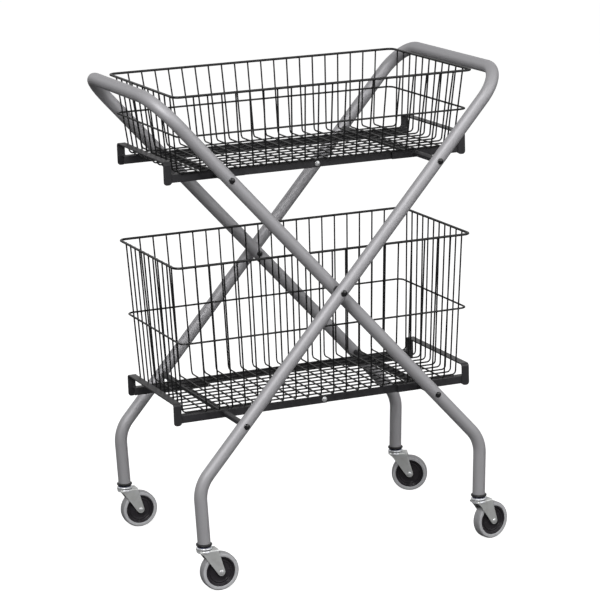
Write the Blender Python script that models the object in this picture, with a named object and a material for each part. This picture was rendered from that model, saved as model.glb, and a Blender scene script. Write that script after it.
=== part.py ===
"""Folding utility cart: two crossed tube frames, two jack-knifing trays, two lift-out wire baskets
and four swivel casters. Metres, +Z up, X along the cart, front at -Y. Shown open."""
import math

import bmesh
import bpy
from mathutils import Matrix, Vector

# Small shared sizes
GAP = 0.0003                 # clearance between neighbouring pieces
OVERLAP = 0.002              # how far cutters and welded pieces run into each other
EDGE = 0.0012                # small rounding

# Crossed frames
TUBE_R = 0.0127
INNER_Y = 0.197              # side tube centre line of the inner frame
FRAMES_APART = 0.0046        # wall to wall where the frames cross
FRAME_Y = {"a": INNER_Y, "b": INNER_Y + 2 * TUBE_R + FRAMES_APART}
HANDLE_SIDE = {"a": -1, "b": 1}         # which end of the cart a frame's handle is at
PIVOT_Z = 0.557
ARM_X = 0.211                # tray pivot from the centre pivot, along X
ARM_Z = 0.237                # and along Z
HANDLE_REACH = 0.536         # centre pivot to handle centre line, along the tube
HANDLE_BEND_R = 0.070
LEG_X = 0.3035               # at the leg's end
LEG_TOE_DEG = 2.3            # the legs lean in a little toward their ends
LEG_STUB = 0.004             # upright end that sits square on the caster's flange
LEG_BEND_R = 0.070
LEG_END_Z = 0.098
BORE_R = 0.0080
BORE_DEPTH = 0.036
PIN_R = 0.0030
RIVET_HEAD_R = 0.0062
RIVET_HEAD_H = 0.0032
PIVOT_PIN_R = 0.0040
PIVOT_HEAD_R = 0.0066
SPACER_R = 0.0100
DOME_SHARES = ((1, 0), (0.76, 0.7), (0, 1))     # a rivet head's radius and height
LEAN = math.atan2(ARM_X, ARM_Z)
HANDLE_X = HANDLE_REACH * math.sin(LEAN)
HANDLE_Z = PIVOT_Z + HANDLE_REACH * math.cos(LEAN)

# Trays
TRAY_X = 0.319               # outer face of an end hoop
TRAY_Y = 0.132               # outer face of its upright ends
BAR = 0.016                  # square tube of rails and cross bars, and the hoop strap's width
HOOP_T = 0.003               # the hoop is a flat strap bent down at both ends
HOOP_TOP = 0.0335            # above the rail centre line
HOOP_FOOT = 0.0115           # below it
HOOP_CORNER_R = 0.007
FOOT_CORNER_R = 0.006
RAIL_Y = TRAY_Y - HOOP_T + GAP     # outer face of the rails, let into the strap
RAIL_END_X = TRAY_X - BAR / 2
TUBE_END_X = 0.160           # where a rail's square tube ends and its hinge strap goes on
STRAP_H = 0.0135
STRAP_T = 0.0040
STRAP_PAST = 0.0110          # how far a strap passes the centre hinge
STRAP_IN = {"left": 0.0028, "right": 0.0073}   # strap face behind the rail's outer face
HINGE_PIN_R = 0.0030
HINGE_HEAD_R = 0.0060

# Baskets: half sizes at the rim and at the bottom, rim height, hoop wire height
WIRE = 0.0030
RIM_WIRE_R = 0.0026
HOOP_WIRE = 0.0040
EDGE_WIRE = 0.0040
RIM_CORNER_R = 0.014
LONG_PITCH = 0.0286
UPPER_RIM_IN = 0.0454        # rim's end inside the handle's centre line
UPPER_RIM_SIDE = 0.013       # rim's side inside the inner frame's centre line
LOWER_RIM_IN = 0.005         # rim's end inside the hoop's outer face
LOWER_RIM_SIDE = 0.038
LOWER_DEPTH = 0.3055         # rim over the tray's centre line
TAPER = {"upper": (0.019, 0.0215), "lower": (0.0185, 0.0135)}      # bottom inside the rim
HOOP_SHARES = {"upper": 0.5276, "lower": 0.5065}    # hoop wire's place between tray and rim
BASKETS = {
    "upper": {"tray_z": PIVOT_Z + ARM_Z, "rim_z": HANDLE_Z - GAP, "rim_x": HANDLE_X - UPPER_RIM_IN,
              "rim_y": FRAME_Y["a"] - UPPER_RIM_SIDE, "end_pitch": 0.0300},
    "lower": {"tray_z": PIVOT_Z - ARM_Z, "rim_z": PIVOT_Z - ARM_Z + LOWER_DEPTH,
              "rim_x": TRAY_X - LOWER_RIM_IN, "rim_y": FRAME_Y["a"] - LOWER_RIM_SIDE,
              "end_pitch": 0.0255},
}
for level, size in BASKETS.items():
    size["foot_x"] = size["rim_x"] - TAPER[level][0]
    size["foot_y"] = size["rim_y"] - TAPER[level][1]
    size["hoop_z"] = size["tray_z"] + (size["rim_z"] - size["tray_z"]) * HOOP_SHARES[level]
UPRIGHT_MARGIN = 0.030       # a wall's last upright stays at least this far inside the rim's end

# Casters
WHEEL_R = 0.038
TYRE_W = 0.0205
TYRE_IN_R = 0.0290
HUB_W = 0.0220
TRAIL = 0.029
AXLE_R = 0.0030
AXLE_HEAD_R = 0.0050
AXLE_HEAD_H = 0.0020
FORK_IN = 0.0116             # inner face of a fork leg from the wheel's middle
FORK_T = 0.0020
FORK_TOP_Z = 0.0856
FORK_UNDER_Z = 0.0826
FORK_REACH = 0.0235          # front end of the crown plate from the stem
FORK_FOOT_R = 0.0072
RACE_R = 0.0155
RACE_LOW_Z = 0.0796
RACE_TOP_Z = 0.0908
STEM_R = 0.0044
SOCKET_R = 0.0076            # plug inside the leg
SOCKET_BORE_R = 0.0047
COLLAR_R = 0.0125            # collar and flange between the leg's end and the race
COLLAR_LOW_Z = 0.0912
FLANGE_R = 0.0160
FLANGE_LOW_Z = 0.0934
SWIVEL_DEG = {"front_left": 0.0, "back_left": 0.0, "front_right": 12.0, "back_right": -26.0}

# Facets
TUBE_RES = 3                 # curve bevel resolution of the 25 mm tubes
BEND_STEPS = 7
TURN = 2 * math.pi

for old in list(bpy.data.objects):
    bpy.data.objects.remove(old, do_unlink=True)

scene = bpy.context.scene
cart = bpy.data.collections.new("folding_utility_cart")
cutters = bpy.data.collections.new("cutters_and_joined_pieces")
scene.collection.children.link(cart)
scene.collection.children.link(cutters)


def material(name, rgb, metallic, roughness):
    made = bpy.data.materials.new(name)
    made.use_nodes = True
    shader = made.node_tree.nodes["Principled BSDF"]
    shader.inputs["Base Color"].default_value = (*rgb, 1)
    shader.inputs["Metallic"].default_value = metallic
    shader.inputs["Roughness"].default_value = roughness
    made.diffuse_color = (*rgb, 1)
    return made


LOOKS = {
    "frame_tube": ((0.36, 0.36, 0.38), 0.4, 0.42),
    "black_steel": ((0.03, 0.03, 0.032), 0.1, 0.5),
    "basket_wire": ((0.025, 0.025, 0.028), 0.1, 0.4),
    "silver_rivet": ((0.62, 0.62, 0.64), 0.9, 0.3),
    "black_rivet": ((0.05, 0.05, 0.055), 0.4, 0.35),
    "zinc": ((0.55, 0.56, 0.58), 0.85, 0.38),
    "socket_plastic": ((0.02, 0.02, 0.022), 0.0, 0.5),
    "hub_plastic": ((0.035, 0.035, 0.04), 0.0, 0.45),
    "tyre_rubber": ((0.42, 0.42, 0.44), 0.0, 0.75),
}
joints = {}


def joint_empty(name, place, parent=None):
    """An empty on the joint's axis carries every piece that turns or slides with it."""
    empty = bpy.data.objects.new(name, None)
    empty.empty_display_size = TUBE_R
    cart.objects.link(empty)
    place = Vector(place)
    if parent:
        empty.parent = joints[parent][0]
        empty.location = place - joints[parent][1]
    else:
        empty.location = place
    joints[name] = (empty, place)
    return name


def add(name, mesh, look, joint, smooth=False, hidden=False):
    """Puts a mesh built in world places under its joint's empty, with its own material."""
    obj = bpy.data.objects.new(name, mesh)
    home = joints[joint][1] if joint else Vector()
    mesh.transform(Matrix.Translation(-home))
    if joint:
        obj.parent = joints[joint][0]
    if hidden:
        cutters.objects.link(obj)
        obj.hide_render = True
        obj.display_type = "WIRE"
    else:
        cart.objects.link(obj)
        rgb, metallic, roughness = LOOKS[look]
        mesh.materials.append(material(name, rgb, metallic, roughness))
    if smooth:
        for face in mesh.polygons:
            face.use_smooth = True
        mesh.set_sharp_from_angle(angle=math.radians(35))
    return obj


def boolean(obj, other, operation):
    change = obj.modifiers.new(operation.lower() + "_" + other.name, "BOOLEAN")
    change.operation = operation
    change.solver = "EXACT"
    change.object = other


def to_mesh(bm, name):
    bmesh.ops.recalc_face_normals(bm, faces=bm.faces)
    if bm.calc_volume(signed=True) < 0:
        bmesh.ops.reverse_faces(bm, faces=bm.faces)
    mesh = bpy.data.meshes.new(name)
    bm.to_mesh(mesh)
    bm.free()
    return mesh


def joined(bms, name):
    """Several bmeshes as one mesh."""
    whole = bmesh.new()
    for bm in bms:
        piece = bpy.data.meshes.new("piece")
        bm.to_mesh(piece)
        bm.free()
        whole.from_mesh(piece)
        bpy.data.meshes.remove(piece)
    return to_mesh(whole, name)


def box(low, high):
    bm = bmesh.new()
    bmesh.ops.create_cube(bm, size=1)
    low, high = Vector(low), Vector(high)
    size = Matrix.Diagonal((*(high - low), 1))
    bm.transform(Matrix.Translation((low + high) / 2) @ size)
    return bm


def bar_between(start, end, wide):
    """A square wire from one point to another."""
    start, end = Vector(start), Vector(end)
    run = end - start
    bm = bmesh.new()
    bmesh.ops.create_cone(bm, cap_ends=True, segments=4, radius1=wide / math.sqrt(2),
                          radius2=wide / math.sqrt(2), depth=run.length)
    bm.transform(Matrix.Rotation(TURN / 8, 4, "Z"))
    bm.transform(Matrix.Translation((start + end) / 2)
                 @ run.to_track_quat("Z", "Y").to_matrix().to_4x4())
    return bm


def prism(outline, start, end, plane):
    """An outline drawn in plane "xz" or "yz", pushed along the third axis from start to end."""
    bm = bmesh.new()
    if plane == "xz":
        places = [(u, start, v) for u, v in outline]
        push = Vector((0, end - start, 0))
    else:
        places = [(start, u, v) for u, v in outline]
        push = Vector((end - start, 0, 0))
    verts = [bm.verts.new(place) for place in places]
    edges = [bm.edges.new(pair) for pair in zip(verts, verts[1:] + verts[:1])]
    ring = bmesh.ops.contextual_create(bm, geom=edges)
    pushed = bmesh.ops.extrude_face_region(bm, geom=ring["faces"], use_keep_orig=True)
    new = [item for item in pushed["geom"] if isinstance(item, bmesh.types.BMVert)]
    bmesh.ops.translate(bm, verts=new, vec=push)
    return bm


def lathe(profile, origin, axis, steps, ring=False):
    """Turns (radius, along) pairs about an axis. A ring profile is closed and clear of the axis."""
    bm = bmesh.new()
    points = list(profile) + ([profile[0]] if ring else [])
    verts = [bm.verts.new((r, 0, a)) for r, a in points]
    edges = [bm.edges.new(pair) for pair in zip(verts, verts[1:])]
    bmesh.ops.spin(bm, geom=verts + edges, cent=(0, 0, 0), axis=(0, 0, 1), dvec=(0, 0, 0),
                   angle=TURN, steps=steps, use_merge=False, use_duplicate=False)
    bmesh.ops.remove_doubles(bm, verts=bm.verts, dist=0.00002)
    turn = Vector(axis).to_track_quat("Z", "Y").to_matrix().to_4x4()
    bm.transform(Matrix.Translation(Vector(origin)) @ turn)
    return bm


def rod(radius, start, end, steps=12):
    start, end = Vector(start), Vector(end)
    run = (end - start).length
    return lathe([(0, 0), (radius, 0), (radius, run), (0, run)], start, end - start, steps)


def hole(radius, start, end, steps=10):
    """A cutter for a pin of this radius: its flats still clear the pin."""
    return rod((radius + GAP / 2) / math.cos(math.pi / steps), start, end, steps)


def dome(radius, start, height):
    """Radius and place pairs of a rivet head that rises from a face."""
    return [(radius * wide, start + height * high) for wide, high in DOME_SHARES]


def arc(centre, radius, start, end, steps):
    """Points of an arc in a plane, angles in radians."""
    return [(centre[0] + radius * math.cos(start + (end - start) * i / steps),
             centre[1] + radius * math.sin(start + (end - start) * i / steps))
            for i in range(steps + 1)]


def rounded_path(corners, radii, steps):
    """A line of 3-D points with each inner corner replaced by an arc."""
    points = [Vector(corners[0])]
    for before, here, after, radius in zip(corners, corners[1:], corners[2:], radii):
        before, here, after = Vector(before), Vector(here), Vector(after)
        back, ahead = (before - here).normalized(), (after - here).normalized()
        half = back.angle(ahead) / 2
        middle = here + (back + ahead).normalized() * (radius / math.sin(half))
        first = here + back * (radius / math.tan(half))
        last = here + ahead * (radius / math.tan(half))
        sweep = (first - middle).angle(last - middle)
        for i in range(steps + 1):
            share = i / steps
            side = ((first - middle) * math.sin((1 - share) * sweep)
                    + (last - middle) * math.sin(share * sweep)) / math.sin(sweep)
            points.append(middle + side)
    points.append(Vector(corners[-1]))
    return points


def swept(points, radius, resolution, closed=False):
    """A round wire or tube along a line of points, as a mesh."""
    curve = bpy.data.curves.new("path", "CURVE")
    curve.dimensions = "3D"
    curve.bevel_depth = radius
    curve.bevel_resolution = resolution
    curve.use_fill_caps = True
    line = curve.splines.new("POLY")
    line.points.add(len(points) - 1)
    for point, place in zip(line.points, points):
        point.co = (*place, 1)
    line.use_cyclic_u = closed
    holder = bpy.data.objects.new("path", curve)
    scene.collection.objects.link(holder)
    bpy.context.view_layer.update()
    mesh = bpy.data.meshes.new_from_object(holder.evaluated_get(
        bpy.context.evaluated_depsgraph_get()))
    bpy.data.objects.remove(holder)
    bpy.data.curves.remove(curve)
    bm = bmesh.new()
    bm.from_mesh(mesh)
    bpy.data.meshes.remove(mesh)
    bmesh.ops.remove_doubles(bm, verts=bm.verts, dist=0.00002)
    return bm


def along_arm(side, reach):
    """A point on a frame's straight run: X and Z for a distance from the centre pivot."""
    return side * reach * math.sin(LEAN), PIVOT_Z + reach * math.cos(LEAN)


# Joints, outermost first
joint_empty("centre_pivot", (0, 0, PIVOT_Z))
for frame in ("a", "b"):
    joint_empty("frame_" + frame, (0, 0, PIVOT_Z), "centre_pivot")
HALVES = {("upper", "left"): "a", ("upper", "right"): "b",
          ("lower", "left"): "b", ("lower", "right"): "a"}
SIDE = {"left": -1, "right": 1}
for (level, half), frame in HALVES.items():
    joint_empty(f"{level}_{half}_tray", (SIDE[half] * ARM_X, 0, BASKETS[level]["tray_z"]),
                "frame_" + frame)
for level, basket in BASKETS.items():
    joint_empty(level + "_basket", (0, 0, basket["tray_z"]), "centre_pivot")
CORNERS = {"front_left": ("b", -1, -1), "back_left": ("b", -1, 1),
           "front_right": ("a", 1, -1), "back_right": ("a", 1, 1)}
for corner, (frame, side, face) in CORNERS.items():
    stem = Vector((side * LEG_X, face * FRAME_Y[frame], LEG_END_Z))
    joint_empty(corner + "_swivel", stem, "frame_" + frame)
    way = math.radians(SWIVEL_DEG[corner])
    hub = Vector((stem.x + TRAIL * math.cos(way), stem.y + TRAIL * math.sin(way), WHEEL_R))
    joint_empty(corner + "_wheel", hub, corner + "_swivel")


def build_frame(frame):
    """One bent tube: leg, crossing side, handle, crossing side, leg."""
    side, y = HANDLE_SIDE[frame], FRAME_Y[frame]
    toe, lean = math.tan(math.radians(LEG_TOE_DEG)), math.tan(LEAN)
    foot_x = -side * LEG_X
    stub_z = LEG_END_Z + LEG_STUB
    knee_z = (PIVOT_Z * lean - LEG_X + stub_z * toe) / (lean + toe)
    knee_x = -side * (PIVOT_Z - knee_z) * lean
    top_x, top_z = along_arm(side, HANDLE_REACH)
    corners = [(foot_x, -y, stub_z), (knee_x, -y, knee_z), (top_x, -y, top_z),
               (top_x, y, top_z), (knee_x, y, knee_z), (foot_x, y, stub_z)]
    radii = [LEG_BEND_R, HANDLE_BEND_R, HANDLE_BEND_R, LEG_BEND_R]
    path = rounded_path(corners, radii, BEND_STEPS)
    path = [Vector((foot_x, -y, LEG_END_Z))] + path + [Vector((foot_x, y, LEG_END_Z))]
    bm = swept(path, TUBE_R, TUBE_RES)
    tube = add("frame_" + frame + "_tube", to_mesh(bm, "frame"), "frame_tube", "frame_" + frame,
               smooth=True)
    reach = y + TUBE_R + OVERLAP
    holes = []
    for arm_x, arm_z, radius in ((side * ARM_X, ARM_Z, PIN_R), (-side * ARM_X, -ARM_Z, PIN_R),
                                 (0, 0, PIVOT_PIN_R)):
        holes.append(hole(radius, (arm_x, -reach, PIVOT_Z + arm_z),
                          (arm_x, reach, PIVOT_Z + arm_z)))
    for face in (-1, 1):
        holes.append(rod(BORE_R, (foot_x, face * y, LEG_END_Z - OVERLAP),
                         (foot_x, face * y, LEG_END_Z + BORE_DEPTH), 12))
    cutter = add("frame_" + frame + "_holes", joined(holes, "holes"), None, "frame_" + frame,
                 hidden=True)
    boolean(tube, cutter, "DIFFERENCE")


def build_pivot_pin(face):
    """A shouldered rivet through both crossing tubes, with a spacer washer between them."""
    name = "front" if face < 0 else "back"
    inner = FRAME_Y["a"] - TUBE_R - GAP
    outer = FRAME_Y["b"] + TUBE_R + GAP
    head = RIVET_HEAD_H - GAP
    profile = dome(PIVOT_HEAD_R, inner, -head)[::-1] + [(PIVOT_PIN_R, inner), (PIVOT_PIN_R, outer)]
    profile += dome(PIVOT_HEAD_R, outer, head)
    bm = lathe(profile, (0, 0, PIVOT_Z), (0, face, 0), 12)
    add(name + "_pivot_pin", to_mesh(bm, "pin"), "black_rivet", "centre_pivot", smooth=True)
    low = FRAME_Y["a"] + TUBE_R + GAP
    high = FRAME_Y["b"] - TUBE_R - GAP
    bore = PIVOT_PIN_R + GAP / 2
    bm = lathe([(bore, low), (SPACER_R, low), (SPACER_R, high), (bore, high)],
               (0, 0, PIVOT_Z), (0, face, 0), 14, ring=True)
    add(name + "_pivot_spacer", to_mesh(bm, "spacer"), "socket_plastic", "centre_pivot",
        smooth=True)


def build_hoop(level, half):
    """End hoop: a flat strap over the tray's end, with two short outer rails welded inside it."""
    z = BASKETS[level]["tray_z"]
    side = SIDE[half]
    top, foot = z + HOOP_TOP, z - HOOP_FOOT
    in_y, in_r = TRAY_Y - HOOP_T, HOOP_CORNER_R - HOOP_T
    quarter = math.pi / 2
    skin = [(TRAY_Y, foot - OVERLAP)]
    skin += arc((TRAY_Y - HOOP_CORNER_R, top - HOOP_CORNER_R), HOOP_CORNER_R, 0, quarter, 4)
    core = [(in_y, foot - OVERLAP)]
    core += arc((in_y - in_r, top - HOOP_T - in_r), in_r, 0, quarter, 4)
    outline = skin + [(-u, v) for u, v in reversed(skin)] + [(-u, v) for u, v in core]
    outline += list(reversed(core))
    in_x, out_x = TRAY_X - BAR, TRAY_X
    hoop = prism(outline, side * (in_x - OVERLAP), side * (out_x + OVERLAP), "yz")
    name = f"{level}_{half}_end_hoop"
    joint = f"{level}_{half}_tray"
    obj = add(name, to_mesh(hoop, "hoop"), "black_steel", joint)

    # The strap's edges and its rounded feet
    shape = arc((out_x - FOOT_CORNER_R, foot + FOOT_CORNER_R), FOOT_CORNER_R, -quarter, 0, 3)
    shape += [(out_x, top + OVERLAP), (in_x, top + OVERLAP)]
    shape += arc((in_x + FOOT_CORNER_R, foot + FOOT_CORNER_R), FOOT_CORNER_R, 2 * quarter,
                 3 * quarter, 3)
    reach = TRAY_Y + OVERLAP
    trim = prism([(side * u, v) for u, v in shape], -reach, reach, "xz")
    boolean(obj, add(name + "_shape", to_mesh(trim, "shape"), None, joint, hidden=True), "INTERSECT")

    start, end = side * (ARM_X + BAR / 2 + GAP), side * RAIL_END_X
    rails = [box((min(start, end), min(face * RAIL_Y, face * (RAIL_Y - BAR)), z - BAR / 2),
                 (max(start, end), max(face * RAIL_Y, face * (RAIL_Y - BAR)), z + BAR / 2))
             for face in (-1, 1)]
    arms = add(name + "_rails", joined(rails, "rails"), None, joint, hidden=True)
    boolean(obj, arms, "UNION")


def build_cross_bar(level, half):
    """Square bar between the frame's side tubes, with a riveted pin out through each tube."""
    z = BASKETS[level]["tray_z"]
    side = SIDE[half]
    y = FRAME_Y[HALVES[level, half]]
    reach = y - TUBE_R - GAP
    x = side * ARM_X
    name = f"{level}_{half}_cross_bar"
    joint = f"{level}_{half}_tray"
    bm = box((x - BAR / 2, -reach, z - BAR / 2), (x + BAR / 2, reach, z + BAR / 2))
    bar = add(name, to_mesh(bm, "bar"), "black_steel", joint)
    outer = y + TUBE_R + GAP
    head = RIVET_HEAD_H - GAP
    for face in (-1, 1):
        where = "front" if face < 0 else "back"
        profile = [(0, reach - OVERLAP), (PIN_R, reach - OVERLAP), (PIN_R, outer)]
        profile += dome(RIVET_HEAD_R, outer, head)
        pin = lathe(profile, (x, 0, z), (0, face, 0), 10)
        boolean(bar, add(f"{name}_{where}_pin", to_mesh(pin, "pin"), None, joint, hidden=True),
                "UNION")


def build_hinge_rail(level, half, face):
    """Inner rail: square tube from the cross bar, then a strap that laps its twin at the centre."""
    z = BASKETS[level]["tray_z"]
    side = SIDE[half]
    where = "front" if face < 0 else "back"
    name = f"{level}_{half}_{where}_rail"
    joint = f"{level}_{half}_tray"
    outer = face * (RAIL_Y - STRAP_IN[half])
    inner = face * (RAIL_Y - STRAP_IN[half] - STRAP_T)
    past = -side * STRAP_PAST
    round_r = STRAP_H / 2
    quarter = math.pi / 2
    centre = (past + side * round_r, z)
    outline = [(centre[0] - side * round_r * math.cos(angle), z + round_r * math.sin(angle))
               for angle in [quarter * (i / 4 - 1) for i in range(9)]]
    deep = side * (TUBE_END_X + BAR)
    outline += [(deep, z + round_r), (deep, z - round_r)]
    strap = add(name, to_mesh(prism(outline, inner, outer, "xz"), "strap"), "black_steel", joint)
    if half == "left":
        reach = face * (RAIL_Y + BAR)
        cut = hole(HINGE_PIN_R, (0, 0, z), (0, reach, z))
        boolean(strap, add(name + "_hole", to_mesh(cut, "hole"), None, joint, hidden=True),
                "DIFFERENCE")
    start, end = side * (ARM_X - BAR / 2 - GAP), side * TUBE_END_X
    low_y, high_y = sorted((face * RAIL_Y, face * (RAIL_Y - BAR)))
    tube = box((min(start, end), low_y, z - BAR / 2), (max(start, end), high_y, z + BAR / 2))
    boolean(strap, add(name + "_tube", to_mesh(tube, "tube"), None, joint, hidden=True), "UNION")


def build_hinge_rivet(level, face):
    """Silver rivet at the tray's centre hinge, carried by the left strap."""
    z = BASKETS[level]["tray_z"]
    where = "front" if face < 0 else "back"
    outer = RAIL_Y - STRAP_IN["left"] + GAP / 2
    inner = RAIL_Y - STRAP_IN["left"] - STRAP_T + GAP / 3
    profile = [(0, inner), (HINGE_PIN_R, inner), (HINGE_PIN_R, outer)]
    profile += dome(HINGE_HEAD_R, outer, RIVET_HEAD_H)
    bm = lathe(profile, (0, 0, z), (0, face, 0), 12)
    add(f"{level}_{where}_hinge_rivet", to_mesh(bm, "rivet"), "silver_rivet",
        f"{level}_left_tray", smooth=True)


def evenly_spaced(half_length, pitch):
    """Places of the uprights along a wall, as many as fit between the end margins."""
    spaces = int(2 * (half_length - UPRIGHT_MARGIN) / pitch)
    return [pitch * (i - spaces / 2) for i in range(spaces + 1)]


def build_basket(level):
    """Rim, four wire walls and two layers of bottom wires, each a solid of its own."""
    size = BASKETS[level]
    joint = level + "_basket"
    rim_z = size["rim_z"]
    long_z = size["tray_z"] + BAR / 2 + GAP + EDGE_WIRE / 2
    cross_z = long_z + EDGE_WIRE / 2 + GAP + WIRE / 2
    tie_z = cross_z + GAP
    top_z = rim_z - RIM_WIRE_R - 2 * GAP
    longs = evenly_spaced(size["rim_x"], LONG_PITCH)
    ends = evenly_spaced(size["rim_y"], size["end_pitch"])
    narrow_x = size["foot_x"] / size["rim_x"]
    narrow_y = size["foot_y"] / size["rim_y"]

    corners = [(size["rim_x"] - RIM_CORNER_R, size["rim_y"] - RIM_CORNER_R, 0)]
    corners += [(-corners[0][0], corners[0][1], TURN / 4), (-corners[0][0], -corners[0][1], TURN / 2),
                (corners[0][0], -corners[0][1], 3 * TURN / 4)]
    loop = []
    for x, y, turn in corners:
        loop += [(*point, rim_z) for point in arc((x, y), RIM_CORNER_R, turn, turn + TURN / 4, 4)]
    rim = swept(loop, RIM_WIRE_R, 1, closed=True)
    add(level + "_basket_rim", to_mesh(rim, "rim"), "basket_wire", joint, smooth=True)

    # Side walls, with the hoop wire welded outside them
    share = (size["hoop_z"] - cross_z) / (rim_z - cross_z)
    hoop_x = size["foot_x"] + (size["rim_x"] - size["foot_x"]) * share
    hoop_y = size["foot_y"] + (size["rim_y"] - size["foot_y"]) * share
    out = WIRE / 2 + HOOP_WIRE / 2 - WIRE / 2
    half_hoop = HOOP_WIRE / 2
    walls = {"front": (-1, longs), "back": (1, longs), "left": (-1, ends), "right": (1, ends)}
    for wall, (side, places) in walls.items():
        on_long = wall in ("front", "back")
        wires = []
        for place in places:
            if on_long:
                low_z = tie_z + EDGE_WIRE / 2 + 2 * GAP
                low = (place * narrow_x, side * size["foot_y"], low_z)
                high = (place, side * size["rim_y"], top_z)
            else:
                low_z = long_z + EDGE_WIRE / 2 + 2 * GAP
                low = (side * size["foot_x"], place * narrow_y, low_z)
                high = (side * size["rim_x"], place, top_z)
            wires.append(bar_between(low, high, WIRE))
        name = f"{level}_basket_{wall}_wall"
        if on_long:
            reach = hoop_x + out + half_hoop
            hoop = box((-reach, side * (hoop_y + out) - half_hoop, size["hoop_z"] - half_hoop),
                       (reach, side * (hoop_y + out) + half_hoop, size["hoop_z"] + half_hoop))
        else:
            reach = hoop_y + out - half_hoop - GAP
            hoop = box((side * (hoop_x + out) - half_hoop, -reach, size["hoop_z"] - half_hoop),
                       (side * (hoop_x + out) + half_hoop, reach, size["hoop_z"] + half_hoop))
        obj = add(name, to_mesh(hoop, "hoop"), "basket_wire", joint)
        boolean(obj, add(name + "_wires", joined(wires, "wires"), None, joint, hidden=True), "UNION")

    # Long wires lie under, cross wires over; each layer is tied by two thicker edge wires
    reach = size["foot_x"] + EDGE_WIRE / 2
    wide = size["foot_y"] - EDGE_WIRE - GAP
    wires = [bar_between((-reach + EDGE, place * narrow_y, long_z), (reach - EDGE, place * narrow_y, long_z),
                         WIRE) for place in ends]
    ties = [bar_between((side * size["foot_x"], -wide, long_z), (side * size["foot_x"], wide, long_z),
                        EDGE_WIRE) for side in (-1, 1)]
    name = level + "_basket_long_wires"
    obj = add(name, joined(ties, "ties"), "basket_wire", joint)
    boolean(obj, add(name + "_wires", joined(wires, "wires"), None, joint, hidden=True), "UNION")

    reach = size["foot_y"] + EDGE_WIRE / 2
    wide = size["foot_x"] + EDGE_WIRE / 2
    wires = [bar_between((place * narrow_x, -reach + EDGE, cross_z), (place * narrow_x, reach - EDGE, cross_z),
                         WIRE) for place in longs]
    ties = [bar_between((-wide + EDGE_WIRE * 2, side * size["foot_y"], tie_z),
                        (wide - EDGE_WIRE * 2, side * size["foot_y"], tie_z),
                        EDGE_WIRE) for side in (-1, 1)]
    name = level + "_basket_cross_wires"
    obj = add(name, joined(ties, "ties"), "basket_wire", joint)
    boolean(obj, add(name + "_wires", joined(wires, "wires"), None, joint, hidden=True), "UNION")


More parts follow.
